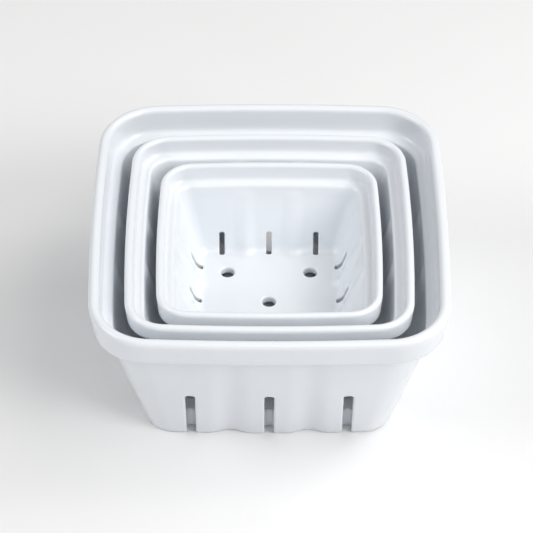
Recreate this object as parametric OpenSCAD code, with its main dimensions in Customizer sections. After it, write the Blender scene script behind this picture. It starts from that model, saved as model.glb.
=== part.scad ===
// Nested set of three square berry colanders, each one moulded shell.
// Every bowl stands on a hollow foot, and its raised floor carries the foot of the next smaller bowl.

/* [Shell] */
// Thickness of the floors
floor_thickness = 3.5; // [2.8:0.1:4]
// Width of the flat under the foot's edge, left by the rounding of its outer corner
foot_round = 1.1; // [0.4:0.1:1.5]
// Radius of the hollow where the walls meet the floor
floor_round = 6; // [3:0.5:8]
// Gap between a foot and the floor that carries it
seat_gap = 0.2; // [0.1:0.05:0.5]

/* [Flutes] */
// Depth of a flute at the foot of the wall
flute_depth = 2.8; // [1:0.1:4]
// Depth of a flute where its rounded top begins
flute_top_depth = 1; // [0.2:0.1:2]
// Height of the rounded top of a flute
flute_end = 6; // [3:0.5:10]

/* [Foot] */
// Corner radius of a foot, as a share of the width over it
foot_corner_share = 0.116; // [0.08:0.002:0.125]
// Distance between neighbouring slots, as a share of the width over the foot
slot_pitch_share = 0.3115; // [0.29:0.0005:0.315]
// Distance of the outer drain holes from the middle, along each side, as a share of the width over the foot
hole_offset_share = 0.2725; // [0.2:0.0005:0.29]

/* [Large colander] */
// Width over the rim
large_rim_width = 205; // [192:1:217]
// Width over the foot
large_foot_width = 145; // [138:1:152]
// Height from the foot to the top of the rim
large_height = 104; // [92:1:120]
// Thickness of the walls
large_wall = 4.2; // [3.2:0.1:4.8]
// Thickness of the rim's rounded bead
large_rim_thickness = 6.2; // [4.8:0.2:7.2]
// Height of the top of the floor above the foot
large_floor_height = 14.5; // [10:0.5:20]
// Height of the collar under the rim, outside
large_collar_height = 18.5; // [14:0.5:26]
// Distance from the outline of the rim to the fluted wall under the collar
large_collar_step = 8; // [6:0.5:9.5]
// Corner radius of the rim, as a share of the width over it
large_rim_corner_share = 0.1725; // [0.14:0.0005:0.18]
// Radius that bows the sides outward
large_side_bow = 1500; // [900:50:3000]
// Height of the top of the slots above the foot
large_slot_height = 43; // [30:1:55]
// Width of a slot
large_slot_width = 5.4; // [3:0.2:6.4]
// Reach of a slot inward from the outline of the foot
large_slot_reach = 5; // [4.5:0.5:8]
// Diameter of a drain hole
large_hole = 10; // [7:0.5:14]

/* [Medium colander] */
// Space between its rim and the large colander's, outside to outside
medium_rim_space = 19.7; // [17:0.1:22]
// Space between its foot and the large colander's, outside to outside
medium_foot_space = 14; // [13:0.5:16]
// Height from the foot to the top of the rim
medium_height = 81.8; // [76:0.2:95]
// Thickness of the walls
medium_wall = 3.7; // [2.9:0.1:4.3]
// Thickness of the rim's rounded bead
medium_rim_thickness = 4.8; // [3.8:0.2:5.6]
// Height of the top of the floor above the foot
medium_floor_height = 12; // [9:0.5:16]
// Height of the collar under the rim, outside
medium_collar_height = 11.8; // [9:0.2:18]
// Distance from the outline of the rim to the fluted wall under the collar
medium_collar_step = 7; // [5.5:0.5:8.5]
// Corner radius of the rim, as a share of the width over it
medium_rim_corner_share = 0.1395; // [0.11:0.0005:0.18]
// Radius that bows the sides outward
medium_side_bow = 1200; // [800:50:2400]
// Height of the top of the slots above the foot
medium_slot_height = 33; // [24:1:42]
// Width of a slot
medium_slot_width = 4.4; // [2.6:0.2:5.2]
// Reach of a slot inward from the outline of the foot
medium_slot_reach = 4.8; // [4:0.2:7]
// Diameter of a drain hole
medium_hole = 9; // [6:0.5:12]

/* [Small colander] */
// Space between its rim and the medium colander's, outside to outside
small_rim_space = 17.6; // [15:0.1:20]
// Space between its foot and the medium colander's, outside to outside
small_foot_space = 13; // [12:0.5:15]
// Height from the foot to the top of the rim
small_height = 62.8; // [58:0.2:72]
// Thickness of the walls
small_wall = 3.5; // [2.8:0.1:4]
// Thickness of the rim's rounded bead
small_rim_thickness = 4.2; // [3.6:0.2:5]
// Height of the top of the floor above the foot
small_floor_height = 9.7; // [8:0.1:13]
// Height of the collar under the rim, outside
small_collar_height = 12.8; // [8:0.2:16]
// Distance from the outline of the rim to the fluted wall under the collar
small_collar_step = 6; // [5:0.5:7.5]
// Corner radius of the rim, as a share of the width over it
small_rim_corner_share = 0.146; // [0.11:0.0005:0.18]
// Radius that bows the sides outward
small_side_bow = 1000; // [600:50:2000]
// Height of the top of the slots above the foot
small_slot_height = 20.5; // [17:0.5:26]
// Width of a slot
small_slot_width = 3.1; // [2:0.1:4]
// Reach of a slot inward from the outline of the foot
small_slot_reach = 4.6; // [4:0.2:6]
// Diameter of a drain hole
small_hole = 8; // [5:0.5:10]

/* [Hidden] */

// Widths over the rims and feet of the colanders in the nest
medium_rim_width = large_rim_width - 2 * medium_rim_space;
medium_foot_width = large_foot_width - 2 * medium_foot_space;
small_rim_width = medium_rim_width - 2 * small_rim_space;
small_foot_width = medium_foot_width - 2 * small_foot_space;

// Heights of the feet in the nest
medium_base = large_floor_height + seat_gap;
small_base = medium_base + medium_floor_height + seat_gap;

// Length by which a cut runs past the surface it opens
overrun = 5;
// Outline points: intervals per slot pitch, stations from the middle of a side to its end, corner steps
PITCH_STEPS = 10;
HALF_SIDE = 12;
CORNER_STEPS = 6;
// Every COARSE-th side station is kept on the plain rings of the collar and rim
COARSE = 4;
// Steps round the rim's bead, from the outside over the top to the inside, and round the hollow by the floor
BEAD_STEPS = 4;
ROUND_STEPS = 2;
// Steps round the inner end of a slot, and sides of a drain hole
END_STEPS = 6;
HOLE_SIDES = 48;
// The collar leans in by this share of its step from the rim down to its lower edge
COLLAR_LEAN_share = 0.22;
// Rounding of the edges of the ledge inside the collar, as a share of the wall
LEDGE_ROUND_share = 0.5;
// Full width of a flute and half width of a slot's shroud, as shares of the slot pitch
FLUTE_share = 0.54;
SHROUD_share = 0.12;
// Depth by which the shell's ring and the floor plate run into each other
bite = 0.4;

function lerp(a, b, t) = a + (b - a) * t;

// Centre of the corner arc of a square whose sides bow out on the given radius
function corner_centre(half, corner, bow) =
    let (e = bow - half) (sqrt(2 * pow(bow - corner, 2) - e * e) - e) / 2;

// A raised cosine of the given full width round a centre
function swell(x, centre, width) =
    let (d = abs(x - centre) / width) d < 0.5 ? (1 + cos(360 * d)) / 2 : 0;

// One quarter of a ring: the back side from left to right, then the right back corner.
// A ring is [half width, height, corner radius, flute depth, slot shroud depth].
function quarter(ring, bow, pitch, every) =
    let (
        half = ring[0],
        z = ring[1],
        corner = ring[2],
        c = corner_centre(half, corner, bow),
        turn = atan2(c, c + bow - half),
        step = pitch / PITCH_STEPS
    )
    concat(
        [for (i = [-HALF_SIDE:every:HALF_SIDE])
            let (
                x = i * step,
                flutes = swell(x, -pitch / 2, pitch * FLUTE_share) + swell(x, pitch / 2, pitch * FLUTE_share),
                from_slot = min([for (k = [-1:1]) abs(x - k * pitch)]),
                shroud = from_slot < pitch * SHROUD_share ? 1 : 0
            )
            [x, sqrt(bow * bow - x * x) - bow + half - ring[3] * flutes - ring[4] * shroud, z]],
        [for (i = [0:CORNER_STEPS])
            let (t = lerp(turn, 90 - turn, i / CORNER_STEPS))
            [c + corner * sin(t), c + corner * cos(t), z]]
    );

// The four quarters of a ring, one after another
function loop_points(part) =
    [for (k = [0:3]) each [for (p = part) [
        p[0] * cos(-90 * k) - p[1] * sin(-90 * k),
        p[0] * sin(-90 * k) + p[1] * cos(-90 * k),
        p[2]]]];

// Faces between two rings that start at point a and b and have n points each
function band(a, b, n) =
    [for (i = [0:n - 1]) let (j = (i + 1) % n) each [[a + i, a + j, b + j], [a + i, b + j, b + i]]];

// Points in a quarter of a ring on which every so many side stations are kept
function quarter_count(every) = 2 * HALF_SIDE / every + 1 + CORNER_STEPS + 1;

// Faces between a fine ring at a and a coarse ring at b, quarter by quarter
function joint_band(a, b) =
    let (
        nf = quarter_count(1),
        nc = quarter_count(COARSE),
        side_c = 2 * HALF_SIDE / COARSE,
        total_f = 4 * nf,
        total_c = 4 * nc
    )
    [for (q = [0:3]) each concat(
        [for (i = [0:side_c - 1]) each concat(
            [for (k = [0:COARSE - 1]) let (f = a + q * nf + i * COARSE + k) [f, f + 1, b + q * nc + i]],
            [[a + q * nf + (i + 1) * COARSE, b + q * nc + i + 1, b + q * nc + i]])],
        [for (i = [0:CORNER_STEPS + 1]) let (
                f0 = q * nf + 2 * HALF_SIDE + i,
                c0 = q * nc + side_c + i,
                f1 = (f0 + 1) % total_f,
                c1 = (c0 + 1) % total_c
            )
            each [[a + f0, a + f1, b + c1], [a + f0, b + c1, b + c0]]]
    )];

function flip(faces) = [for (f = faces) [f[2], f[1], f[0]]];

// Wall of one bowl standing on z = 0, from the skirt up to the rim and down again to the floor's edge,
// and inside it the floor plate with its five drain holes
module shell(half, foot_half, height, wall, rim_thickness, floor_height, collar_height, collar_step,
             rim_corner, foot_corner, bow, pitch, reach, hole, hole_offset) {
    bead = rim_thickness / 2;
    soft = LEDGE_ROUND_share * wall;
    wall_top = height - collar_height;
    top_half = half - collar_step;
    collar_half = half - COLLAR_LEAN_share * collar_step;
    top_corner = rim_corner - collar_step;
    collar_corner = top_corner + soft;
    ledge = wall_top + wall;
    flute_top = wall_top - flute_end;
    under = floor_height - floor_thickness;

    // Half width and corner radius of the fluted wall's outer face at a height
    function out_half(z) = lerp(foot_half, top_half, z / wall_top);
    function out_corner(z) = lerp(foot_corner, top_corner, z / wall_top);
    function flute(z) = z > flute_top ? 0 : lerp(flute_depth, flute_top_depth, z / flute_top);
    // A ring of the outer face, and one of the inner face, moved in by the given distance
    function outer(z, inset) = [out_half(z) - inset, z, max(out_corner(z) - inset, soft), flute(z), 0];
    function inner(z, inset) = outer(z, wall + inset);

    hollow = [for (r = [inner(under + bite, soft + bite), inner(under - soft, 0), inner(0, 0)])
        [r[0], r[1], r[2], r[3], reach]];
    outside = [outer(0, foot_round), outer(foot_round, 0), outer(flute_top, 0), outer(wall_top, 0)];
    plain = concat(
        [[collar_half - foot_round, wall_top, collar_corner - foot_round, 0, 0],
         [collar_half, wall_top + foot_round, collar_corner, 0, 0]],
        [for (i = [0:BEAD_STEPS]) let (a = 180 * i / BEAD_STEPS, in = bead * (1 - cos(a)))
            [half - in, height - bead * (1 - sin(a)), rim_corner - in, 0, 0]],
        [[collar_half - wall, ledge + soft, collar_corner - wall, 0, 0],
         [collar_half - wall - soft, ledge, collar_corner - wall - soft, 0, 0],
         [top_half - wall + soft, ledge, top_corner - wall + soft, 0, 0]]
    );
    inside = concat(
        [[top_half - wall, ledge - soft, top_corner - wall, 0, 0], inner(flute_top, 0)],
        [for (i = [0:ROUND_STEPS]) let (
                a = 90 * i / ROUND_STEPS,
                z = floor_height - bite + (floor_round + bite) * (1 - sin(a)),
                r = inner(z, floor_round * (1 - cos(a)))
            ) r]
    );
    function points(rings, every) = [for (r = rings) each loop_points(quarter(r, bow, pitch, every))];
    fine = 4 * quarter_count(1);
    coarse = 4 * quarter_count(COARSE);
    low = concat(hollow, outside);
    first_plain = len(low) * fine;
    first_inside = first_plain + len(plain) * coarse;
    last = first_inside + (len(inside) - 1) * fine;
    polyhedron(
        points = concat(points(low, 1), points(plain, COARSE), points(inside, 1)),
        faces = concat(
            band(last, 0, fine),
            [for (k = [0:len(low) - 2]) each band(k * fine, (k + 1) * fine, fine)],
            joint_band(first_plain - fine, first_plain),
            [for (k = [0:len(plain) - 2])
                let (a = first_plain + k * coarse) each band(a, a + coarse, coarse)],
            flip(joint_band(first_inside, first_inside - coarse)),
            [for (k = [0:len(inside) - 2]) let (a = first_inside + k * fine) each band(a, a + fine, fine)]
        )
    );
    translate([0, 0, under])
        linear_extrude(floor_thickness)
            difference() {
                polygon([for (p = points([inner(under, foot_round)], COARSE)) [p[0], p[1]]]);
                for (at = [[0, 0], [1, 1], [-1, 1], [-1, -1], [1, -1]])
                    translate(at * hole_offset)
                        circle(d = hole, $fn = HOLE_SIDES);
            }
}

// Plan of a slot that opens outward, its round end turned to the middle of the bowl
module slot_plan(from_middle, to_outside, width) {
    round_end = [for (i = [0:END_STEPS]) let (a = 180 + 180 * i / END_STEPS)
        [width / 2 * cos(a), from_middle + width / 2 * (1 + sin(a))]];
    polygon(concat(round_end, [[width / 2, to_outside], [-width / 2, to_outside]]));
}

// One bowl: the shell with three slots cut through each wall
module colander(rim_width, foot_width, height, wall, rim_thickness, floor_height, collar_height,
                collar_step, rim_corner_share, side_bow, slot_height, slot_width, slot_reach, hole) {
    slot_pitch = slot_pitch_share * foot_width;
    difference() {
        shell(rim_width / 2, foot_width / 2, height, wall, rim_thickness, floor_height, collar_height,
              collar_step, rim_corner_share * rim_width, foot_corner_share * foot_width, side_bow,
              slot_pitch, slot_reach, hole, hole_offset_share * foot_width);
        for (side = [0:3], k = [-1:1])
            rotate(90 * side)
                translate([k * slot_pitch, 0, -overrun])
                    linear_extrude(slot_height + overrun)
                        slot_plan(foot_width / 2 - slot_reach, rim_width / 2, slot_width);
    }
}

module large_colander() {
    color("white")
        colander(large_rim_width, large_foot_width, large_height, large_wall, large_rim_thickness,
                 large_floor_height, large_collar_height, large_collar_step, large_rim_corner_share,
                 large_side_bow, large_slot_height, large_slot_width, large_slot_reach, large_hole);
}

module medium_colander() {
    color("whitesmoke")
        translate([0, 0, medium_base])
            colander(medium_rim_width, medium_foot_width, medium_height, medium_wall, medium_rim_thickness,
                     medium_floor_height, medium_collar_height, medium_collar_step, medium_rim_corner_share,
                     medium_side_bow, medium_slot_height, medium_slot_width, medium_slot_reach, medium_hole);
}

module small_colander() {
    color("snow")
        translate([0, 0, small_base])
            colander(small_rim_width, small_foot_width, small_height, small_wall, small_rim_thickness,
                     small_floor_height, small_collar_height, small_collar_step, small_rim_corner_share,
                     small_side_bow, small_slot_height, small_slot_width, small_slot_reach, small_hole);
}

large_colander();
medium_colander();
small_colander();
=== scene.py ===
"""Nested set of three square berry colanders in glossy white melamine."""
import math

import bmesh
import bpy
import numpy as np
from bpy.props import FloatProperty, FloatVectorProperty, PointerProperty
from bpy.types import Operator, Panel, PropertyGroup
from mathutils import Matrix, Vector
from mathutils.geometry import delaunay_2d_cdt


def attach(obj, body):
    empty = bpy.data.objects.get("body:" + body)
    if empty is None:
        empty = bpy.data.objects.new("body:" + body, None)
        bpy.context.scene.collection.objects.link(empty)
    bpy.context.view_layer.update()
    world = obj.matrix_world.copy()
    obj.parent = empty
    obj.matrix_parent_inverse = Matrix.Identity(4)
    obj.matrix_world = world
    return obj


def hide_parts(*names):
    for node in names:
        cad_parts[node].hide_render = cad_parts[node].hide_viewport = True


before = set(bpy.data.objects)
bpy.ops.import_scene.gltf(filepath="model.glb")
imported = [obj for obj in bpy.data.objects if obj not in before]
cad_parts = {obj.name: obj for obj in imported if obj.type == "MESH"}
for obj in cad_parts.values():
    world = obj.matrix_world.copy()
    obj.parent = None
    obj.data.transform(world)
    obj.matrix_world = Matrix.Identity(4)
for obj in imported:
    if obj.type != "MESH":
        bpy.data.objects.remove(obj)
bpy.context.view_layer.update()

bl_info = {
    "name": "Nested berry colanders",
    "version": (1, 0, 0),
    "blender": (4, 5, 0),
    "location": "3D View > Sidebar > Colanders",
    "description": "Builds three nested square colanders in moulded melamine",
    "category": "Add Mesh",
}

MM = 0.001

# ---- sizes ----

# Key, label and description of each size of a bowl
SIZE_KEYS = (
    ("base", "Base height", "Height of the foot above the surface that the set stands on"),
    ("rim_width", "Rim width", "Width over the rim"),
    ("foot_width", "Foot width", "Width over the foot"),
    ("height", "Height", "Height from the foot to the top of the rim"),
    ("wall", "Wall", "Thickness of the walls"),
    ("rim_thickness", "Rim thickness", "Thickness of the rim's rounded bead"),
    ("floor_height", "Floor height", "Height of the top of the floor above the foot"),
    ("collar_height", "Collar height", "Height of the collar under the rim, outside"),
    ("collar_step", "Collar step", "Distance from the rim's outline to the wall under the collar"),
    ("collar_lean", "Collar lean", "Distance by which the collar leans in from the rim to its lower edge"),
    ("collar_wall", "Collar wall", "Thickness of the collar at its foot, under the rim's bead"),
    ("ledge_rise", "Ledge rise", "Height of the ledge inside the collar above the collar's lower edge"),
    ("ledge_hollow", "Ledge hollow", "Radius of the hollow where the collar meets the ledge"),
    ("lip_round", "Lip rounding", "Rounding of the edge where the ledge turns down into the wall"),
    ("rim_corner", "Rim corner", "Corner radius of the rim"),
    ("foot_corner", "Foot corner", "Corner radius of the foot"),
    ("side_bow", "Side bow", "Radius that bows the sides outward"),
    ("slot_pitch", "Slot pitch", "Distance between neighbouring slots"),
    ("slot_height", "Slot height", "Height of the top of the slots above the foot"),
    ("slot_width", "Slot width", "Width of a slot"),
    ("slot_edge", "Slot edge", "Rounding of a slot's edges"),
    ("floor_round", "Floor rounding", "Radius of the hollow where the walls meet the floor"),
    ("floor_fill", "Floor fill", "How much thicker the walls are at the floor than at the ledge"),
    ("slot_rise", "Slot rise", "Height above the floor at which the slots end, inside"),
    ("hole", "Drain hole", "Diameter of a drain hole"),
    ("hole_offset", "Hole offset", "Distance of the outer drain holes from the middle, along each side"),
)
# Sizes of each bowl in millimetres, in the order above
BOWL_SIZES = {
    "large": (0, 205, 145, 104, 4.8, 6.2, 14.5,
              18.5, 8.3, 2.7, 5.4, 1.4, 3.4, 1.5,
              35.4, 16.8, 1500,
              45.17, 42.2, 5.4, 1.4, 4, 0, 0, 10, 39.5),
    "medium": (14.7, 165.6, 117, 81.8, 3.7, 4.8, 12,
               11.8, 7, 1.4, 4.6, 1.3, 2.9, 1.7,
               23.1, 13.6, 1200,
               36.45, 33, 4.4, 1.2, 4, 0, 0, 9, 31.9),
    "small": (26.9, 130.4, 91, 62.8, 3.5, 4.2, 9.7,
              12.8, 6, 1, 4, 2.4, 2.2, 2.2,
              19, 10.6, 1000,
              28.35, 21.9, 3.1, 0.8, 6.5, 2, 0.8, 8, 24.8),
}
# Key, label, description and default in millimetres of each size that the bowls share
SHARED_KEYS = (
    ("floor_thickness", "Floor thickness", "Thickness of the floors", 5.2),
    ("foot_round", "Foot rounding", "Rounding of the foot's edge", 1.3),
    ("collar_round", "Collar rounding", "Rounding of the collar's lower edge", 2.0),
    ("flute_depth", "Flute depth", "Depth of a flute at the foot", 2.8),
    ("flute_top_depth", "Upper flute depth", "Depth of a flute where its rounded top begins", 1.0),
    ("flute_end", "Flute end", "Height of the rounded top of a flute", 6.0),
    ("hole_edge", "Hole edge", "Rounding of a drain hole's edges", 1.1),
)


def size_group(name, keys, values):
    """A PropertyGroup with one length for each key, whose defaults are the values, given in millimetres."""
    lengths = {
        key: FloatProperty(name=label, description=text, default=value * MM, precision=5, unit="LENGTH")
        for (key, label, text), value in zip(keys, values)
    }
    return type(name, (PropertyGroup,), {"__annotations__": lengths})


LargeSizes = size_group("ColanderLargeSizes", SIZE_KEYS, BOWL_SIZES["large"])
MediumSizes = size_group("ColanderMediumSizes", SIZE_KEYS, BOWL_SIZES["medium"])
SmallSizes = size_group("ColanderSmallSizes", SIZE_KEYS, BOWL_SIZES["small"])
SharedSizes = size_group("ColanderSharedSizes", [k[:3] for k in SHARED_KEYS], [k[3] for k in SHARED_KEYS])


class ColanderLooks(PropertyGroup):
    """Colours of the melamine and of the surface that the set stands on."""
    melamine: FloatVectorProperty(
        name="Melamine", description="Colour of the moulded melamine",
        default=(0.815, 0.848, 0.89), size=3, min=0, max=1, subtype="COLOR")
    table: FloatVectorProperty(
        name="Table", description="Colour of the table and backdrop",
        default=(0.86, 0.864, 0.872), size=3, min=0, max=1, subtype="COLOR")
    gloss: FloatProperty(
        name="Gloss roughness", description="Roughness of the melamine where it is unworn",
        default=0.2, min=0, max=1)


# Width of a flute as a share of the slot pitch, corner radius at the top of a slot as a share of its
# width, and depth of the round at a slot's inner end as a share of half its width
FLUTE_WIDTH, SLOT_CORNER, SLOT_END = 0.54, 0.4, 0.6

# Columns across a slot, between two slots, from the outer slot to the corner and round a corner
HOLE_COLS, GAP_COLS, END_COLS, CORNER_COLS = 10, 24, 12, 20
# Rows round the foot's edge and up to the top of the slots, and columns along a slot's sides in the foot
FOOT_ROWS, SLOT_ROWS, REACH_COLS = 4, 14, 4
# Rows up the rest of the wall, up the flutes' rounded tops, and on the straight parts of the collar and skirt
WALL_ROWS, TOP_ROWS, COLLAR_ROWS = 8, 6, 4
# Rows round a sharp bend, round a wider one and round a hollow, a lip or half of the rim's bead
SHARP_ROWS, BEND_ROWS, ROUND_ROWS = 4, 5, 6
# Rows across the edge and along the middle of a slot's wall, and columns round a drain hole
CHANNEL_ROWS, BORE_COLS = 4, 48

# Lengths that every bowl has in common: how much rounder the collar's corners are than the wall's, roundings
# of the corner under the collar, of the skirt's inner edge and of the corner between skirt and floor, widths
# of the rings of floor inside the hollow, under the floor's edge and round a drain hole, and how far the
# dip of the rows at a slot's rounded corners reaches to the side and along the wall
COLLAR_CORNER, STEP_ROUND, SKIRT_ROUND, ROOF_ROUND = 1.5 * MM, 1.6 * MM, 0.9 * MM, 2 * MM
FLOOR_RING, ROOF_RING, BORE_RING = 7.5 * MM, 1.2 * MM, 1.2 * MM
DIP_ACROSS, DIP_ALONG = 6 * MM, 9 * MM
# Number of rows past the slots' tops that the dip may reach, share of the height between the tops and the
# hollow that it may take, share of the hollow's radius left out of that, and least width share of a flute
DIP_ROWS, DIP_SHARE, DIP_HOLLOW, FLUTE_LEAST = 12, 0.7, 0.75, 0.2
# Number of places on a hollow among which a slot's inner end is looked for, and how far the floor's innermost
# ring stays off the slots, as a share of the least corner radius
HOLLOW_PLACES, FLOOR_OFF = 401, 1.4
# Shares of the room between a slot's shroud and the corner: most that the shroud's round takes, and what the
# ring round it takes
SHROUD_ROUND, SHROUD_RING = 0.6, 0.1
# Faces that meet at a wider angle than this stay sharp, and distance at which a plate's points are one
SHARP_ANGLE, PLATE_EPSILON = math.radians(42), 1e-7


def smooth(t):
    """Smooth step: 3 t squared less 2 t cubed, with t held between 0 and 1."""
    t = np.clip(t, 0, 1)
    return t * t * (3 - 2 * t)


def bend(start, corner, end, weight, t):
    """Points at t, from 0 to 1, of the rational quadratic curve from start over corner to end."""
    wa, wb, wc = (1 - t) ** 2, 2 * weight * t * (1 - t), t ** 2
    return (wa * start + wb * corner + wc * end) / (wa + wb + wc)


def arc(start, corner, end, steps):
    """Rows along a circular arc that leaves start towards corner and arrives at end. steps is their number,
    without start itself, or their places from 0 at start to 1 at end.

    The corner weighs the cosine of half the turn, and every column of a row, such as its corner radius, is
    carried along by the same weights.
    """
    start, corner, end = (np.asarray(p, float) for p in (start, corner, end))
    a, b = corner[:2] - start[:2], end[:2] - corner[:2]
    weight = math.sqrt((1 + a @ b / math.sqrt((a @ a) * (b @ b))) / 2)
    t = np.linspace(0, 1, steps + 1)[1:, None] if isinstance(steps, int) else steps[:, None]
    return bend(start, corner, end, weight, t)


def line(start, end, steps):
    """Rows along the straight line from start to end, without start itself."""
    t = np.linspace(0, 1, steps + 1)[1:, None]
    return (1 - t) * np.asarray(start, float) + t * np.asarray(end, float)


class Bowl:
    """Surface of one bowl. A ring round it is a row of half width, height, corner radius, flute depth
    and flute width share; rings follow each other from the foot's edge up the outside, over the rim
    and down the inside to the floor."""

    def __init__(self, sizes, shared):
        for key, *_ in SIZE_KEYS:
            setattr(self, key, getattr(sizes, key))
        for key, *_ in SHARED_KEYS:
            setattr(self, key, getattr(shared, key))
        self.half = self.rim_width / 2
        self.foot_half = self.foot_width / 2
        self.bead = self.rim_thickness / 2
        self.least = self.wall / 2
        self.slot_corner = SLOT_CORNER * self.slot_width
        self.wall_top = self.height - self.collar_height
        self.top_half = self.half - self.collar_step
        self.top_corner = self.rim_corner - self.collar_step
        self.collar_half = self.half - self.collar_lean
        self.collar_corner = self.top_corner + COLLAR_CORNER
        self.ledge = self.wall_top + self.ledge_rise
        self.flute_start = self.wall_top - self.flute_end
        self.under = self.floor_height - self.floor_thickness
        self.draft = (self.top_half - self.foot_half) / self.wall_top
        self.flute_slope = (self.flute_top_depth - self.flute_depth) / self.flute_start
        self.lean_angle = math.atan(self.draft)

    def wall_rows(self, z, inset=0.0):
        """Rows of the fluted wall at heights z, moved inward by inset. The half width and the corner
        radius grow evenly with height; the flutes grow shallower evenly and end in a rounded top. A wall
        that is moved inward runs straight from the start of that top to the ledge."""
        z = np.atleast_1d(np.asarray(z, float))
        t = z / self.wall_top
        past = np.clip((z - self.flute_start) / self.flute_end, 0, 1)
        depth = np.where(z < self.flute_start, self.flute_depth + self.flute_slope * z,
                         self.flute_top_depth * (1 + np.cos(np.pi * past)) / 2)
        width = np.maximum(np.sqrt(1 - past ** 2), FLUTE_LEAST)
        half = self.foot_half + (self.top_half - self.foot_half) * t - inset
        if inset:
            high = (z - self.flute_start) / (self.ledge - self.flute_start)
            low = self.foot_half + self.draft * self.flute_start - inset
            half = np.where(z > self.flute_start, low + (self.top_half - inset - low) * high, half)
        corner = self.foot_corner + (self.top_corner - self.foot_corner) * np.minimum(t, 1)
        corner = np.maximum(corner - inset, self.least)
        return np.stack([half, z, corner, depth, width], 1)

    def inner_rows(self, z):
        """Rows of the wall's inner face at heights z: the outer face moved in by the wall's thickness, which
        grows evenly by floor_fill from the ledge down to the floor."""
        rows = self.wall_rows(z, self.wall)
        more = self.floor_fill * (self.ledge - rows[:, 1]) / (self.ledge - self.floor_height)
        rows[:, 0] -= more
        rows[:, 2] = np.maximum(rows[:, 2] - more, self.least)
        return rows

    def shell_rows(self, top):
        """All rows from the foot's edge to the floor. top is the height of the top of the slots' openings.
        Returns the rows and the numbers of those at the outer top, the inner top and the floor's slot end."""
        foot, edge = self.wall_rows(0)[0], self.foot_round
        flat = foot - [edge, 0, edge, 0, 0]
        rise = edge * math.cos(self.lean_angle)
        rows = [flat[None], arc(flat, foot, self.wall_rows(rise)[0], FOOT_ROWS)]
        rows.append(self.wall_rows(np.linspace(rise, top, SLOT_ROWS + 1)[1:]))
        outer_top = FOOT_ROWS + SLOT_ROWS
        rows.append(self.wall_rows(np.linspace(top, self.flute_start, WALL_ROWS + 1)[1:]))
        rows.append(self.wall_rows(
            np.linspace(self.flute_start, self.wall_top - STEP_ROUND, TOP_ROWS + 1)[1:]))
        wall_end = self.wall_rows(self.wall_top)[0]
        step = [STEP_ROUND, 0, STEP_ROUND, 0, 0]
        rows.append(arc(rows[-1][-1], wall_end, wall_end + step, SHARP_ROWS))
        plain = [0, 1]
        collar = np.array([self.collar_half, self.wall_top, self.collar_corner] + plain)
        rim = np.array([self.half, self.height - self.bead, self.rim_corner] + plain)
        up = (rim - collar) / np.linalg.norm((rim - collar)[:2])
        size = self.collar_round
        rows.append(line(rows[-1][-1], collar - [size, 0, size, 0, 0], 2))
        rows.append(arc(rows[-1][-1], collar, collar + size * up, BEND_ROWS))
        rows.append(line(rows[-1][-1], rim, COLLAR_ROWS))
        b = self.bead
        over = rim + [0, b, 0, 0, 0]
        crest = over - [b, 0, b, 0, 0]
        back = over - [2 * b, 0, 2 * b, 0, 0]
        rows.append(arc(rim, over, crest, ROUND_ROWS))
        rows.append(arc(crest, back, back - [0, b, 0, 0, 0], ROUND_ROWS))
        nook = collar + [-self.collar_wall, self.ledge_rise, -self.collar_wall, 0, 0]
        size = self.ledge_hollow
        start = rows[-1][-1]
        up = (start - nook) / np.linalg.norm((start - nook)[:2])
        rows.append(line(start, nook + size * up, COLLAR_ROWS))
        rows.append(arc(rows[-1][-1], nook, nook - [size, 0, size, 0, 0], ROUND_ROWS))
        size = self.lip_round
        lip = np.array([self.top_half - self.wall, self.ledge, self.top_corner - self.wall] + plain)
        down = self.inner_rows(self.ledge - size)[0]
        rows.append(line(rows[-1][-1], lip + [size, 0, size, 0, 0], 1))
        rows.append(arc(rows[-1][-1], lip, down, ROUND_ROWS))
        rows.append(self.inner_rows(np.linspace(down[1], self.flute_start, TOP_ROWS + 1)[1:]))
        rows.append(self.inner_rows(np.linspace(self.flute_start, top, WALL_ROWS + 1)[1:]))
        inner_top = sum(len(r) for r in rows) - 1
        reach = self.floor_round * math.tan((math.pi / 2 - self.lean_angle) / 2)
        low = self.floor_height + reach * math.cos(self.lean_angle)
        count = FOOT_ROWS + SLOT_ROWS + REACH_COLS
        straight = int(round(SLOT_ROWS * (self.slot_height - low) / (self.slot_height - rise)))
        rows.append(self.inner_rows(np.linspace(top, low, straight + 1)[1:]))
        start = rows[-1][-1]
        nook = self.inner_rows(self.floor_height)[0]
        end = nook - [reach, 0, min(reach, nook[2] - self.least), 0, 0]
        t = np.linspace(0, 1, HOLLOW_PLACES)
        stop = np.interp(-self.floor_height - self.slot_rise, -arc(start, nook, end, t)[:, 1], t)
        rows.append(arc(start, nook, end, stop * np.linspace(0, 1, count - straight + 1)[1:]))
        if self.slot_rise:
            rows.append(arc(start, nook, end, np.linspace(stop, 1, BEND_ROWS + 1)[1:]))
        floor_end = inner_top + count
        last = end.copy()
        last[0] = max(end[0] - FLOOR_RING,
                      self.slot_pitch + self.slot_width / 2 + self.slot_edge + FLOOR_OFF * self.least)
        last[2] = self.least
        last[3] = 0
        rows.append(line(end, last, ROUND_ROWS))
        return np.concatenate(rows), outer_top, inner_top, floor_end

    def fit(self, half, corner):
        """Centre of the corner arcs, the angle at which a side meets them and the side's half length there.
        Each side is an arc of radius side_bow, and the corner arc touches two of them."""
        e = self.side_bow - half
        c = (np.sqrt(2 * (self.side_bow - corner) ** 2 - e ** 2) - e) / 2
        turn = np.arctan2(c, c + e)
        return c, turn, self.side_bow * np.sin(turn)

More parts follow.
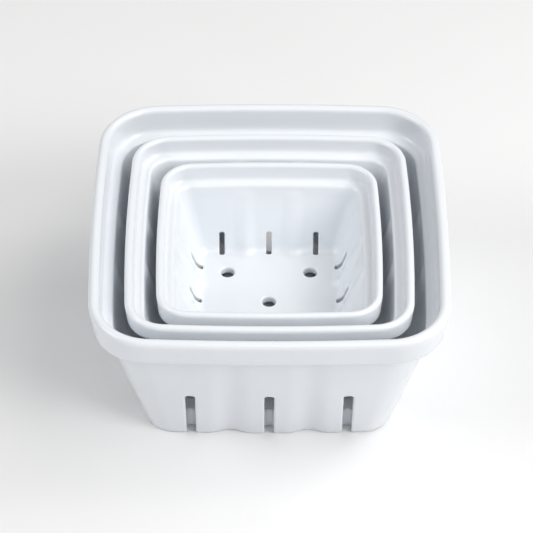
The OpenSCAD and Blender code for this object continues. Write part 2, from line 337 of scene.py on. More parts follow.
    def stations(self, r):
        """Places along a side as a + b times the side's half length: fixed at the slots, whose half width
        is r, graded between them, and stretched from the outer slots to the ends of the side."""
        slot = r * np.sin(np.linspace(-np.pi / 2, np.pi / 2, HOLE_COLS + 1))
        t = np.arange(1, GAP_COLS) / GAP_COLS
        gap = r + (self.slot_pitch - 2 * r) * (t - 0.5 * np.sin(2 * np.pi * t) / (2 * np.pi))
        t = np.arange(1, END_COLS + 1) / END_COLS
        t = (t + t * t) / 2
        p = self.slot_pitch
        middle = np.concatenate([slot - p, gap - p, slot, gap, slot + p])
        outer = (p + r) * (1 - t)
        a = np.concatenate([-outer[::-1], middle, outer])
        b = np.concatenate([-t[::-1], 0 * middle, t])
        return a, b

    def side_y(self, x, half, depth, width):
        """Distance of a side from the middle at x: the bowed side less the two flutes, raised cosines
        centred between the slots."""
        flutes = 0
        for centre in (-self.slot_pitch / 2, self.slot_pitch / 2):
            d = np.abs(x - centre) / (self.slot_pitch * FLUTE_WIDTH * width)
            flutes = flutes + np.where(d < 0.5, (1 + np.cos(2 * np.pi * d)) / 2, 0)
        return np.sqrt(self.side_bow ** 2 - x ** 2) - self.side_bow + half - depth * flutes

    def slot_distance(self, x):
        """Distance of x from the middle of the nearest slot."""
        return np.abs(x - self.slot_pitch * np.clip(np.round(x / self.slot_pitch), -1, 1))

    def grid(self, r, top, round_top):
        """Points of the whole shell, rows by columns. Rows near the top of the slots dip to follow the
        slots' rounded corners. Rows from the slots' ends inward swing round the ends and keep to the
        height that the hollow or the floor has there."""
        rows, outer_top, inner_top, floor_end = self.shell_rows(top)
        half, z, corner, depth, width = (rows[:, k:k + 1] for k in range(5))
        c, turn, end = self.fit(half, corner)
        a, b = self.stations(r)
        x = a + b * end
        d = self.slot_distance(x)
        over = np.clip(d - (r - round_top), 0, round_top)
        dip = np.where(d <= r + 1e-9, round_top - np.sqrt(np.maximum(round_top ** 2 - over ** 2, 0)),
                       round_top * smooth(1 - (d - r) / DIP_ACROSS))
        span = min(DIP_ALONG, DIP_SHARE * (top - self.floor_height - DIP_HOLLOW * self.floor_round))
        number = np.arange(len(rows))[:, None]
        outer = number <= outer_top + DIP_ROWS
        inner = (number >= inner_top - DIP_ROWS) & (number < floor_end)
        near = np.where((outer | inner) & (z < self.flute_start), smooth(1 - np.abs(z - top) / span), 0)
        fall = -dip * near
        y = self.side_y(x, half + self.draft * fall, depth + self.flute_slope * fall, width)
        inward = SLOT_END * np.sqrt(np.maximum(r ** 2 - d ** 2, 0))
        fade = smooth(1 - (half[floor_end] - half) / (half[floor_end] - half[-1]))
        on_floor = number >= floor_end
        shift = np.where(on_floor, inward * fade, 0)
        y = y - shift
        hollow = np.interp(half - shift, half[:floor_end - 1:-1, 0], z[:floor_end - 1:-1, 0])
        level = np.where(on_floor, hollow, z + fall)
        u = np.arange(1, CORNER_COLS) / CORNER_COLS
        angle = turn + (np.pi / 2 - 2 * turn) * u
        xc, yc = c + corner * np.sin(angle), c + corner * np.cos(angle)
        quarter = np.stack([np.concatenate([x, xc], 1), np.concatenate([y, yc], 1),
                            np.concatenate([level, z + 0 * xc], 1)], 2)
        return four_sides(quarter)

    def slot_path(self, k, r, half, depth, width, z):
        """Columns that run along the plan of slot k at one ring: in from the side, round the slot's inner
        end, half an ellipse as wide as the slot, and out again. The ring's numbers may be columns of many
        rows."""
        x0 = k * self.slot_pitch
        end_y = self.side_y(np.array([[x0]]), self.slot_end, self.flute_depth, 1.0)
        t = np.arange(1, REACH_COLS + 1) / REACH_COLS
        angle = np.linspace(-np.pi / 2, np.pi / 2, HOLE_COLS + 1)[1:-1]
        near, far = (self.side_y(x0 + s * r, half, depth, width) for s in (-1, 1))
        x = np.concatenate([x0 - r + 0 * t, x0 + r * np.sin(angle), x0 + r + 0 * t], 1)
        y = np.concatenate([near + (end_y - near) * t, end_y - SLOT_END * r * np.cos(angle),
                            far + (end_y - far) * t[::-1]], 1)
        return np.stack([x, y, z + 0 * x], 2)

    def under_rows(self, r):
        """Rows from the foot's edge across the flat of the foot, up the skirt and onto the underside of
        the floor, with the half width of the shroud round a slot in a column of its own."""
        foot = self.wall_rows(0)[0]
        edge, wall = self.foot_round, self.wall
        w = self.slot_width / 2
        first = np.append(foot - [edge, 0, edge, 0, 0], r)
        small, big = SKIRT_ROUND, ROOF_ROUND
        skirt, rise, high, roof = (np.append(self.wall_rows(z, wall)[0], w + wall)
                                   for z in (0, small, self.under - big, self.under))
        flat = skirt + [small, 0, small, 0, 0, -small]
        room = self.fit(roof[0], roof[2])[2] - self.slot_pitch - w - wall
        grow = min(big, SHROUD_ROUND * room)
        inner = roof - [big, 0, min(big, roof[2] - self.least), 0, 0, -grow]
        last = inner - [ROOF_RING, 0, inner[2] - self.least, 0, 0, -SHROUD_RING * room]
        rows = [first[None], line(first, flat, 2), arc(flat, skirt, rise, 3),
                line(rise, high, COLLAR_ROWS), arc(high, roof, inner, BEND_ROWS), line(inner, last, 1)]
        return np.concatenate(rows)

    def under_grid(self, r):
        """Points of the foot's underside, the skirt with its shrouds and the rim of the floor's underside."""
        rows = self.under_rows(r)
        half, z, corner, depth, width, shroud = (rows[:, k:k + 1] for k in range(6))
        c, turn, end = self.fit(half, corner)
        ab = [self.stations(s) for s in shroud[:, 0]]
        x = np.stack([a for a, _ in ab]) + np.stack([b for _, b in ab]) * end
        y = self.side_y(x, half, depth, width)
        side = np.stack([x, y, z + 0 * x], 2)
        u = np.arange(1, CORNER_COLS) / CORNER_COLS
        angle = turn + (np.pi / 2 - 2 * turn) * u
        turned = np.stack([c + corner * np.sin(angle), c + corner * np.cos(angle), z + 0 * angle], 2)
        parts, at = [], 0
        for k in (-1, 0, 1):
            low = slot_column(k)
            parts += [side[:, at:low + 1], self.slot_path(k, shroud, half, depth, width, z)]
            at = low + HOLE_COLS
        return four_sides(np.concatenate(parts + [side[:, at:], turned], 1))

    def bore_rows(self):
        """Radius and height down a drain hole: a flat ring on the floor, a rounded edge, the bore, and the
        same in reverse below."""
        r, e, top, low = self.hole / 2, self.hole_edge, self.floor_height, self.under
        wide = r + e
        rows = [np.array([[wide + BORE_RING, top], [wide, top]]),
                arc([wide, top], [r, top], [r, top - e], SHARP_ROWS),
                line([r, top - e], [r, low + e], 2),
                arc([r, low + e], [r, low], [wide, low], SHARP_ROWS),
                np.array([[wide + BORE_RING, low]])]
        return np.concatenate(rows)

    def build(self):
        """Vertices and faces of the closed shell, in the bowl's own place in the nest."""
        r, w, edge = self.slot_width / 2 + self.slot_edge, self.slot_width / 2, self.slot_edge
        rows, outer_top, inner_top, floor_end = self.shell_rows(self.slot_height)
        self.slot_end = rows[floor_end, 0]
        points = self.grid(r, self.slot_height + edge, self.slot_corner + edge)
        sharp = self.grid(w, self.slot_height, self.slot_corner)
        under, under_sharp = self.under_grid(r), self.under_grid(w)
        mesh = Surface()
        shell = mesh.add(points)
        quarter = shell.shape[1] // 4
        quarter_under = under.shape[1] // 4
        path = 2 * REACH_COLS + HOLE_COLS - 1

        # columns that shell and underside share, in the same order; columns of the underside that run round
        # each slot, by the slot's first column in the shell; and faces of the shell that the slots leave
        keep, own = np.ones(shell.shape[1], bool), np.ones(under.shape[1], bool)
        paths = {}
        faces = np.ones(shell.shape, bool)[:-1]
        for q in range(4):
            for k in (-1, 0, 1):
                low = q * quarter + slot_column(k)
                first = q * quarter_under + slot_column(k) + 1 + (k + 1) * (path - HOLE_COLS + 1)
                paths[low] = np.arange(first, first + path)
                own[paths[low]] = False
                keep[low + 1:low + HOLE_COLS] = False
                faces[:outer_top, low:low + HOLE_COLS] = False
                faces[inner_top:floor_end, low:low + HOLE_COLS] = False
        below = mesh.add(under)
        below[0, own] = shell[0, keep]
        mesh.quads(shell, faces)
        mesh.quads(below)

        flat = points.reshape(-1, 3)
        flat_sharp = sharp.reshape(-1, 3)
        for low, columns in paths.items():
            high = low + HOLE_COLS
            across = np.arange(high - 1, low, -1)
            outside = np.concatenate([shell[outer_top::-1, low], below[0, columns],
                                      shell[:outer_top + 1, high], shell[outer_top, across]])
            inside = np.concatenate([shell[inner_top:floor_end + 1, low], shell[floor_end, across[::-1]],
                                     shell[floor_end:inner_top - 1:-1, high], shell[inner_top, across]])
            n = outer_top + 1
            edge_out = np.concatenate([flat_sharp[outside[:n]], under_sharp[0, columns],
                                       flat_sharp[outside[n + path:]]])
            edge_in = flat_sharp[inside]
            start = np.concatenate([flat[outside[:n]], under[0, columns], flat[outside[n + path:]]])
            mesh.channel(outside, inside, start, edge_out, edge_in, flat[inside], edge)

        bore = self.bore_rows()
        around = np.linspace(0, 2 * np.pi, BORE_COLS, endpoint=False)
        tops, bottoms = [], []
        s = self.hole_offset
        for cx, cy in ((0, 0), (s, s), (-s, s), (-s, -s), (s, -s)):
            ring = np.stack([cx + bore[:, :1] * np.cos(around), cy + bore[:, :1] * np.sin(around),
                             bore[:, 1:] + 0 * around], 2)
            index = mesh.add(ring)
            mesh.quads(index)
            tops.append(index[0])
            bottoms.append(index[-1])
        mesh.plate(shell[-1], tops)
        mesh.plate(below[-1], bottoms)
        return mesh.finish(self.base)


def slot_column(k):
    """Number of the first column of slot k, which is -1, 0 or 1, in a side of the shell's grid."""
    return END_COLS + (k + 1) * (HOLE_COLS + GAP_COLS)


def four_sides(quarter):
    """The quarter's points, rows by columns, and their three quarter turns, joined into closed rings."""
    x, y, z = quarter[..., 0], quarter[..., 1], quarter[..., 2]
    turned = [(x, y), (y, -x), (-x, -y), (-y, x)]
    return np.concatenate([np.stack([a, b, z], 2) for a, b in turned], 1)


class Surface:
    """Vertices and faces that are gathered patch by patch, with shared vertices by number."""

    def __init__(self):
        self.points, self.count, self.four, self.three = [], 0, [], []

    def add(self, points):
        """Adds a grid of points and returns the grid of their numbers."""
        shape = points.shape[:-1]
        size = int(np.prod(shape))
        self.points.append(points.reshape(-1, 3))
        numbers = np.arange(self.count, self.count + size).reshape(shape)
        self.count += size
        return numbers

    def quads(self, grid, mask=None):
        """Joins neighbouring rows of closed rings with four-sided faces, where mask is true."""
        nxt = np.roll(grid, -1, 1)
        faces = np.stack([grid[:-1], nxt[:-1], nxt[1:], grid[1:]], 2)
        self.four.append(faces.reshape(-1, 4) if mask is None else faces[mask])

    def channel(self, outside, inside, start, edge_out, edge_in, end, edge):
        """Wall of a slot between its outer and its inner opening. Both edges are rounded: a circular arc
        leaves the face at start, turns at the sharp edge and runs on towards the other sharp edge."""
        way = edge_in - edge_out
        way = way / np.linalg.norm(way, axis=1, keepdims=True)
        t = np.linspace(0, 1, CHANNEL_ROWS + 1)[1:, None, None]
        rows = [bend(a, b, b + turn * way, math.sqrt(0.5), t)
                for a, b, turn in ((start, edge_out, edge), (end, edge_in, -edge))]
        between = rows[0][-1] + (rows[1][-1] - rows[0][-1]) * t[:-1]
        grid = self.add(np.concatenate([rows[0], between, rows[1][::-1]]))
        self.quads(np.concatenate([outside[None], grid, inside[None]]))

    def plate(self, border, rings):
        """Flat face between a border and the rings round its holes, filled with a constrained triangulation
        without the triangles inside a hole, which have all their corners on one ring."""
        numbers = np.concatenate([border] + rings)
        ring_of = np.repeat(np.arange(len(rings) + 1), [len(border)] + [len(r) for r in rings])
        flat = np.concatenate(self.points)[numbers][:, :2]
        edges, at = [], 0
        for loop in [border] + rings:
            i = np.arange(len(loop))
            edges.append(np.stack([at + i, at + (i + 1) % len(loop)], 1))
            at += len(loop)
        points = [Vector(p) for p in flat.tolist()]
        out = delaunay_2d_cdt(points, np.concatenate(edges).tolist(), [], 1, PLATE_EPSILON)
        source = np.array([o[0] for o in out[3]])
        faces = source[np.array(out[2])]
        own = ring_of[faces]
        inside = (own[:, 0] > 0) & (own[:, 0] == own[:, 1]) & (own[:, 1] == own[:, 2])
        self.three.append(numbers[faces[~inside]])

    def finish(self, base):
        """All points, lifted by base, and the faces, without points that no face uses."""
        points = np.concatenate(self.points) + [0, 0, base]
        four, three = np.concatenate(self.four), np.concatenate(self.three)
        used = np.zeros(len(points), bool)
        used[four] = used[three] = True
        number = np.cumsum(used) - 1
        return points[used], number[four], number[three]


def mesh_object(name, points, four, three):
    """A smooth mesh object whose faces are turned outward and whose sharp corners stay sharp."""
    mesh = bpy.data.meshes.new(name)
    mesh.vertices.add(len(points))
    mesh.vertices.foreach_set("co", points.astype(np.float32).ravel())
    mesh.loops.add(four.size + three.size)
    mesh.loops.foreach_set("vertex_index", np.concatenate([four.ravel(), three.ravel()]).astype(np.int32))
    mesh.polygons.add(len(four) + len(three))
    starts = np.concatenate([np.arange(len(four)) * 4, four.size + np.arange(len(three)) * 3])
    mesh.polygons.foreach_set("loop_start", starts.astype(np.int32))
    mesh.update(calc_edges=True)
    mesh.validate()
    work = bmesh.new()
    work.from_mesh(mesh)
    bmesh.ops.recalc_face_normals(work, faces=work.faces)
    work.to_mesh(mesh)
    work.free()
    mesh.shade_smooth()
    mesh.set_sharp_from_angle(angle=SHARP_ANGLE)
    obj = bpy.data.objects.new(name, mesh)
    bpy.context.scene.collection.objects.link(obj)
    return obj


# ---- materials ----

# Scales of the noises in the melamine, per metre: mottling, waviness of the gloss, grain and fine scratches
MOTTLE_SCALE, WAVE_SCALE, GRAIN_SCALE, SCRATCH_SCALE = 28.0, 90.0, 1400.0, 260.0
# Height of the scuffed band above the foot, and width of the ring that a nested foot rubs on the floor
SCUFF_HEIGHT, RUB_WIDTH = 0.0035, 0.006
# Shares of the pigment's colour that are left where it is mottled and where it is worn
MOTTLED, WORN = (0.987, 0.989, 0.987, 1), (0.80, 0.79, 0.77, 1)
# Ranges of the noises over which mottling, waviness, scuffs, patches of scratches and clouding fade in
MOTTLE_RANGE, WAVE_RANGE, SCUFF_RANGE = (0.35, 0.7), (0.3, 0.7), (0.42, 0.62)
PATCH_RANGE, CLOUD_RANGE = (0.57, 0.72), (0.3, 0.7)
# Heights off the floor between which a rubbed ring fades out
RUB_FADE = 0.0002, 0.0008
# Turn and shift of the noise of each set of scratches, its tilt and stretch, and half width of a line in it
SCRATCH_SETS = ((0.7, 0.0), (2.1, 0.37))
SCRATCH_TILT, SCRATCH_STRETCH, SCRATCH_LINE = (0.3, 0.2), (0.06, 1.0, 1.0), 0.006
# What wear and scratches add: share of the worn colour, roughness, and depth of a scratch
WORN_COLOUR, WORN_ROUGHNESS = 0.35, 0.3
SCRATCH_COLOUR, SCRATCH_ROUGHNESS, SCRATCH_DEPTH = 0.03, 0.04, 0.03
# Least and most that the gloss's waviness adds to the roughness, and heights of the waviness and the grain
WAVE_LOW, WAVE_HIGH, WAVE_HEIGHT, GRAIN_HEIGHT = -0.015, 0.02, 0.6, 0.03
# Strength and distance of the bump on the melamine and on the table
MELAMINE_BUMP = {"Strength": 0.2, "Distance": 0.0003}
TABLE_BUMP = {"Strength": 0.2, "Distance": 0.0001}
# Refraction index of melamine; scales of the table's clouding and tooth, its roughness and darkest share
MELAMINE_IOR = 1.55
CLOUD_SCALE, TOOTH_SCALE, TABLE_ROUGHNESS, CLOUD_SHARE = 6.0, 900.0, 0.85, 0.985
# Width of a column and height of a row of nodes in the node editor
NODE_STEP = 200, -170


def new_node(tree, kind, at, values=None, **properties):
    """A node of that kind at a place, a column and a row, with its properties and its inputs' values set."""
    node = tree.nodes.new(kind)
    node.location = (at[0] * NODE_STEP[0], at[1] * NODE_STEP[1])
    for key, value in properties.items():
        setattr(node, key, value)
    for key, value in (values or {}).items():
        node.inputs[key].default_value = value
    return node


def feed(tree, socket, value):
    """Sets an input to a number or a colour, or links it to the output of another node."""
    if isinstance(value, (int, float, tuple)):
        socket.default_value = value
    else:
        tree.links.new(value, socket)


def math_node(tree, operation, at, first, second=None, clamp=False):
    """The output of a Math node whose inputs are numbers or outputs of other nodes."""
    node = new_node(tree, "ShaderNodeMath", at, operation=operation, use_clamp=clamp)
    feed(tree, node.inputs[0], first)
    if second is not None:
        feed(tree, node.inputs[1], second)
    return node.outputs[0]


def noise(tree, at, place, scale, detail=3.0, roughness=0.5):
    """The output of a Noise Texture at a place that another node gives."""
    node = new_node(tree, "ShaderNodeTexNoise", at,
                    {"Scale": scale, "Detail": detail, "Roughness": roughness})
    tree.links.new(place, node.inputs["Vector"])
    return node.outputs["Fac"]


def ramp(tree, at, value, low, high, out_low=0.0, out_high=1.0):
    """The output of a Map Range node that carries low and high over to out_low and out_high, smoothly."""
    node = new_node(tree, "ShaderNodeMapRange", at, {
        "From Min": low, "From Max": high, "To Min": out_low, "To Max": out_high},
        interpolation_type="SMOOTHSTEP")
    tree.links.new(value, node.inputs["Value"])
    return node.outputs["Result"]


def blend(tree, at, factor, first, second, mode="MIX"):
    """The output of a Mix node of two colours. All three are values or outputs of other nodes."""
    node = new_node(tree, "ShaderNodeMix", at, data_type="RGBA", blend_type=mode)
    for number, value in ((0, factor), (6, first), (7, second)):
        feed(tree, node.inputs[number], value)
    return node.outputs[2]


def scratches(tree, row, place, turn, seed):
    """Mask of fine scratches: a noise drawn out along one direction and cut near its middle value,
    so that only thin lines are left of it, and those only in patches."""
    node = new_node(tree, "ShaderNodeMapping", (1, row), {
        "Rotation": (*SCRATCH_TILT, turn), "Scale": SCRATCH_STRETCH, "Location": (seed, seed, 0.0)})
    tree.links.new(place, node.inputs["Vector"])
    lines = noise(tree, (2, row), node.outputs["Vector"], SCRATCH_SCALE, 2.0)
    away = math_node(tree, "ABSOLUTE", (4, row), math_node(tree, "SUBTRACT", (3, row), lines, 0.5))
    thin = ramp(tree, (5, row), away, 0.0, SCRATCH_LINE, 1.0, 0.0)
    patches = ramp(tree, (5, row + 1), noise(tree, (4, row + 1), place, MOTTLE_SCALE, 2.0), *PATCH_RANGE)
    return math_node(tree, "MULTIPLY", (6, row), thin, patches)


def melamine_group():
    """Shared look of moulded melamine: a colour, a roughness and a height that vary over the surface.
    Mottled pigment, a slow waviness of the gloss, fine grain, hairline scratches, scuffs at the foot
    and a rubbed ring on the floor where the foot of the next bowl stands."""
    tree = bpy.data.node_groups.new("melamine_surface", "ShaderNodeTree")
    for way, name, kind in (
            ("INPUT", "Pigment", "Color"), ("INPUT", "Gloss roughness", "Float"),
            ("INPUT", "Foot height", "Float"), ("INPUT", "Floor height", "Float"),
            ("INPUT", "Rub half width", "Float"), ("INPUT", "Seed", "Vector"),
            ("OUTPUT", "Colour", "Color"), ("OUTPUT", "Roughness", "Float"), ("OUTPUT", "Height", "Float")):
        tree.interface.new_socket(name, in_out=way, socket_type="NodeSocket" + kind)
    given = new_node(tree, "NodeGroupInput", (-2, 2))
    out = new_node(tree, "NodeGroupOutput", (12, 2))
    where = new_node(tree, "ShaderNodeTexCoord", (-2, 0))
    shift = new_node(tree, "ShaderNodeVectorMath", (-1, 1), operation="ADD")
    tree.links.new(where.outputs["Object"], shift.inputs[0])
    tree.links.new(given.outputs["Seed"], shift.inputs[1])
    place = shift.outputs["Vector"]
    axes = new_node(tree, "ShaderNodeSeparateXYZ", (-1, 0))
    tree.links.new(where.outputs["Object"], axes.inputs[0])

    # mottled pigment, waviness of the gloss, grain and two sets of scratches that cross
    mottle = noise(tree, (0, 3), place, MOTTLE_SCALE)
    wave = noise(tree, (0, 4), place, WAVE_SCALE, 2.0)
    grain = noise(tree, (0, 5), place, GRAIN_SCALE, 2.0)
    lines = math_node(tree, "MAXIMUM", (7, 6), scratches(tree, 6, place, *SCRATCH_SETS[0]),
                      scratches(tree, 8, place, *SCRATCH_SETS[1]))

    # scuffs: strongest at the foot's edge, gone at the height of the scuffed band, broken up by noise
    rise = math_node(tree, "SUBTRACT", (0, 0), axes.outputs["Z"], given.outputs["Foot height"])
    low = ramp(tree, (1, 0), rise, 0.0, SCUFF_HEIGHT, 1.0, 0.0)
    broken = ramp(tree, (1, 2), noise(tree, (0, 2), place, 4 * WAVE_SCALE), *SCUFF_RANGE)
    foot = math_node(tree, "MULTIPLY", (2, 0), low, broken)

    # rubbed ring: points of the floor whose larger side distance is near the half width of the foot above
    far = math_node(tree, "MAXIMUM", (2, -3), math_node(tree, "ABSOLUTE", (1, -3), axes.outputs["X"]),
                    math_node(tree, "ABSOLUTE", (1, -4), axes.outputs["Y"]))
    off = math_node(tree, "ABSOLUTE", (4, -3), math_node(tree, "SUBTRACT", (3, -3), far,
                                                        given.outputs["Rub half width"]))
    ring = ramp(tree, (5, -3), off, 0.0, RUB_WIDTH / 2, 1.0, 0.0)
    above = math_node(tree, "ABSOLUTE", (4, -1), math_node(tree, "SUBTRACT", (3, -1), axes.outputs["Z"],
                                                          given.outputs["Floor height"]))
    floor = ramp(tree, (5, -1), above, *RUB_FADE, 1.0, 0.0)
    rub = math_node(tree, "MULTIPLY", (7, -2), math_node(tree, "MULTIPLY", (6, -2), ring, floor), broken)
    worn = math_node(tree, "MAXIMUM", (8, 0), foot, rub)

    pigment = given.outputs["Pigment"]
    dull = blend(tree, (8, 2), 1.0, pigment, MOTTLED, "MULTIPLY")
    stain = blend(tree, (8, 3), 1.0, pigment, WORN, "MULTIPLY")
    colour = blend(tree, (9, 2), ramp(tree, (1, 3), mottle, *MOTTLE_RANGE), pigment, dull)
    wear = math_node(tree, "MULTIPLY", (9, 0), worn, WORN_COLOUR)
    marks = math_node(tree, "MULTIPLY", (9, 1), lines, SCRATCH_COLOUR)
    colour = blend(tree, (10, 2), math_node(tree, "MAXIMUM", (10, 0), wear, marks), colour, stain)

    rough = math_node(tree, "ADD", (9, 4), given.outputs["Gloss roughness"],
                      ramp(tree, (1, 4), wave, *WAVE_RANGE, WAVE_LOW, WAVE_HIGH))
    rough = math_node(tree, "ADD", (10, 4), rough,
                      math_node(tree, "MULTIPLY", (9, 5), lines, SCRATCH_ROUGHNESS))
    rough = math_node(tree, "ADD", (11, 4), rough,
                      math_node(tree, "MULTIPLY", (10, 5), worn, WORN_ROUGHNESS), True)
    height = math_node(tree, "ADD", (9, 6), math_node(tree, "MULTIPLY", (8, 6), wave, WAVE_HEIGHT),
                       math_node(tree, "MULTIPLY", (8, 7), grain, GRAIN_HEIGHT))
    height = math_node(tree, "SUBTRACT", (10, 6), height,
                       math_node(tree, "MULTIPLY", (9, 7), lines, SCRATCH_DEPTH))
    tree.links.new(colour, out.inputs["Colour"])
    tree.links.new(rough, out.inputs["Roughness"])
    tree.links.new(height, out.inputs["Height"])
    return tree


def melamine_material(name, group, looks, shape, rub, seed):
    """Glossy moulded melamine: the shared surface, set to the bowl's own heights, on a Principled BSDF."""
    mat = bpy.data.materials.new(name)
    mat.use_nodes = True
    tree = mat.node_tree
    surface = new_node(tree, "ShaderNodeGroup", (-4, 0), {
        "Pigment": (*looks.melamine, 1), "Gloss roughness": looks.gloss, "Foot height": shape.base,
        "Floor height": shape.base + shape.floor_height, "Rub half width": rub,
        "Seed": (seed, 0.7 * seed, -seed)}, node_tree=group)
    bump = new_node(tree, "ShaderNodeBump", (-2, 1), MELAMINE_BUMP)
    shader = tree.nodes["Principled BSDF"]
    shader.inputs["IOR"].default_value = MELAMINE_IOR
    tree.links.new(surface.outputs["Colour"], shader.inputs["Base Color"])
    tree.links.new(surface.outputs["Roughness"], shader.inputs["Roughness"])
    tree.links.new(surface.outputs["Height"], bump.inputs["Height"])
    tree.links.new(bump.outputs["Normal"], shader.inputs["Normal"])
    return mat


def table_material(looks):
    """Matt white sweep: a plain colour with faint clouding and a fine tooth."""
    mat = bpy.data.materials.new("table")
    mat.use_nodes = True
    tree = mat.node_tree
    where = new_node(tree, "ShaderNodeTexCoord", (-6, 0)).outputs["Object"]
    cloud = ramp(tree, (-4, 0), noise(tree, (-5, 0), where, CLOUD_SCALE), *CLOUD_RANGE)
    pale = tuple(looks.table)
    colour = blend(tree, (-2, 0), cloud, (*pale, 1), (*(CLOUD_SHARE * c for c in pale), 1))
    bump = new_node(tree, "ShaderNodeBump", (-2, 1), TABLE_BUMP)
    tree.links.new(noise(tree, (-4, 1), where, TOOTH_SCALE, 2.0), bump.inputs["Height"])
    shader = tree.nodes["Principled BSDF"]
    shader.inputs["Roughness"].default_value = TABLE_ROUGHNESS
    tree.links.new(colour, shader.inputs["Base Color"])
    tree.links.new(bump.outputs["Normal"], shader.inputs["Normal"])
    return mat


# ---- stage ----

# Camera fitted to the photograph: place in metres, turns in radians, focal length and sensor width in
# millimetres, nearest and furthest distance in metres; and half the width of the table in metres
CAMERA_AT = (-0.00579, -1.0591, 1.0973)
CAMERA_PITCH, CAMERA_YAW, CAMERA_ROLL = 0.77243, 0.0040007, 0.0040455
CAMERA_LENS, SENSOR, CAMERA_NEAR, CAMERA_FAR = 170.69, 36.0, 0.05, 20
TABLE_HALF = 6.0

# Softboxes: name, place and size in metres, and power in watts
LAMPS = (
    ("key", (1.2, -0.85, 1.2), 0.8, 15.2),
    ("top", (0.9, -0.1, 1.7), 0.9, 6.8),
    ("rim", (1.3, 0.5, 1.5), 0.9, 9.0),
    ("front", (0.3, -1.0, 1.7), 0.9, 3.8),
    ("fill", (-1.5, -0.3, 1.3), 1.0, 12.8),
)
# Point that the lamps face and their colour, then colour and strength of the light from all round
LAMPS_AIM, LAMPS_COLOUR = (0, 0, 0.05), (1.0, 0.985, 0.965)
WORLD_COLOUR, WORLD_STRENGTH = (0.98, 0.99, 1.0, 1), 0.28


def camera():
    """The camera at the photograph's angle: looks along +Y, turned by yaw, tipped down by pitch and
    rolled about its own axis."""
    cp, sp = math.cos(CAMERA_PITCH), math.sin(CAMERA_PITCH)
    cy, sy = math.cos(CAMERA_YAW), math.sin(CAMERA_YAW)
    ahead = Vector((sy * cp, cy * cp, -sp))
    flat_right = ahead.cross(Vector((0, 0, 1))).normalized()
    flat_up = flat_right.cross(ahead)
    right = math.cos(CAMERA_ROLL) * flat_right + math.sin(CAMERA_ROLL) * flat_up
    up = right.cross(ahead)
    data = bpy.data.cameras.new("camera")
    data.lens, data.sensor_width, data.sensor_fit = CAMERA_LENS, SENSOR, "AUTO"
    data.clip_start, data.clip_end = CAMERA_NEAR, CAMERA_FAR
    obj = bpy.data.objects.new("camera", data)
    turn = Matrix((right, up, -ahead)).transposed().to_4x4()
    obj.matrix_world = Matrix.Translation(CAMERA_AT) @ turn
    bpy.context.scene.collection.objects.link(obj)
    bpy.context.scene.camera = obj


def softbox(name, at, size, power):
    """A square area lamp at a place, turned to face the middle of the set."""
    data = bpy.data.lights.new(name, "AREA")
    data.shape, data.size, data.energy, data.color = "SQUARE", size, power, LAMPS_COLOUR
    obj = bpy.data.objects.new(name, data)
    obj.location = at
    obj.rotation_euler = (Vector(LAMPS_AIM) - Vector(at)).to_track_quat("-Z", "Y").to_euler()
    bpy.context.scene.collection.objects.link(obj)


def build_bowl(bowl, nested=None):
    """Builds one bowl, gives it its material and puts it on its body in place of its CAD node.
    nested names the bowl whose foot stands on this one's floor."""
    scene = bpy.context.scene
    shape = Bowl(getattr(scene, "colander_" + bowl), scene.colander_shared)
    rub = getattr(scene, "colander_" + nested).foot_width / 2 if nested else 0
    group = bpy.data.node_groups.get("melamine_surface") or melamine_group()
    obj = mesh_object(bowl + "_bowl", *shape.build())
    obj.data.materials.append(
        melamine_material(bowl + "_melamine", group, scene.colander_looks, shape, rub, shape.base))
    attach(obj, bowl)
    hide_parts(bowl + "_colander")


class COLANDER_OT_large(Operator):
    """Build the large bowl"""
    bl_idname = "colander.large"
    bl_label = "Large bowl"

    def execute(self, context):
        build_bowl("large", "medium")
        return {"FINISHED"}


class COLANDER_OT_medium(Operator):
    """Build the medium bowl"""
    bl_idname = "colander.medium"
    bl_label = "Medium bowl"

    def execute(self, context):
        build_bowl("medium", "small")
        return {"FINISHED"}


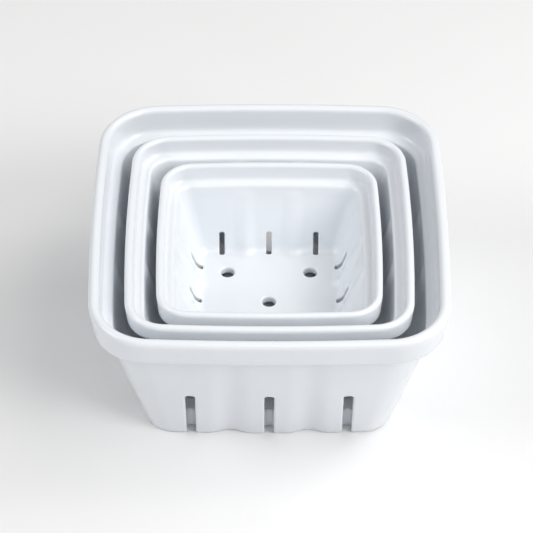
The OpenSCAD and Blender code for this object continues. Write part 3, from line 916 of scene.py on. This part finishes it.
class COLANDER_OT_small(Operator):
    """Build the small bowl"""
    bl_idname = "colander.small"
    bl_label = "Small bowl"

    def execute(self, context):
        build_bowl("small")
        return {"FINISHED"}


class COLANDER_OT_stage(Operator):
    """Build the table, the lamps and the camera"""
    bl_idname = "colander.stage"
    bl_label = "Stage"

    def execute(self, context):
        scene = context.scene
        scene.view_settings.view_transform = "Standard"
        camera()
        mesh = bpy.data.meshes.new("table")
        s = TABLE_HALF
        mesh.from_pydata([(-s, -s, 0), (s, -s, 0), (s, s, 0), (-s, s, 0)], [], [(0, 1, 2, 3)])
        table = bpy.data.objects.new("table", mesh)
        scene.collection.objects.link(table)
        mesh.materials.append(table_material(scene.colander_looks))
        world = bpy.data.worlds.new("studio")
        scene.world = world
        world.use_nodes = True
        sky = world.node_tree.nodes["Background"]
        sky.inputs["Color"].default_value = WORLD_COLOUR
        sky.inputs["Strength"].default_value = WORLD_STRENGTH
        for lamp in LAMPS:
            softbox(*lamp)
        return {"FINISHED"}


class COLANDER_PT_panel(Panel):
    """Lists the pieces of the set"""
    bl_label = "Colanders"
    bl_space_type = "VIEW_3D"
    bl_region_type = "UI"
    bl_category = "Colanders"

    def draw(self, context):
        for name in ("large", "medium", "small", "stage"):
            self.layout.operator("colander." + name)


CLASSES = (LargeSizes, MediumSizes, SmallSizes, SharedSizes, ColanderLooks, COLANDER_OT_large,
           COLANDER_OT_medium, COLANDER_OT_small, COLANDER_OT_stage, COLANDER_PT_panel)
GROUPS = {"colander_large": LargeSizes, "colander_medium": MediumSizes, "colander_small": SmallSizes,
          "colander_shared": SharedSizes, "colander_looks": ColanderLooks}


def register():
    for item in CLASSES:
        bpy.utils.register_class(item)
    for name, group in GROUPS.items():
        setattr(bpy.types.Scene, name, PointerProperty(type=group))


def unregister():
    for name in GROUPS:
        delattr(bpy.types.Scene, name)
    for item in reversed(CLASSES):
        bpy.utils.unregister_class(item)


def main():
    register()
    bpy.ops.colander.stage()
    bpy.ops.colander.large()
    bpy.ops.colander.medium()
    bpy.ops.colander.small()


if __name__ == "__main__":
    main()
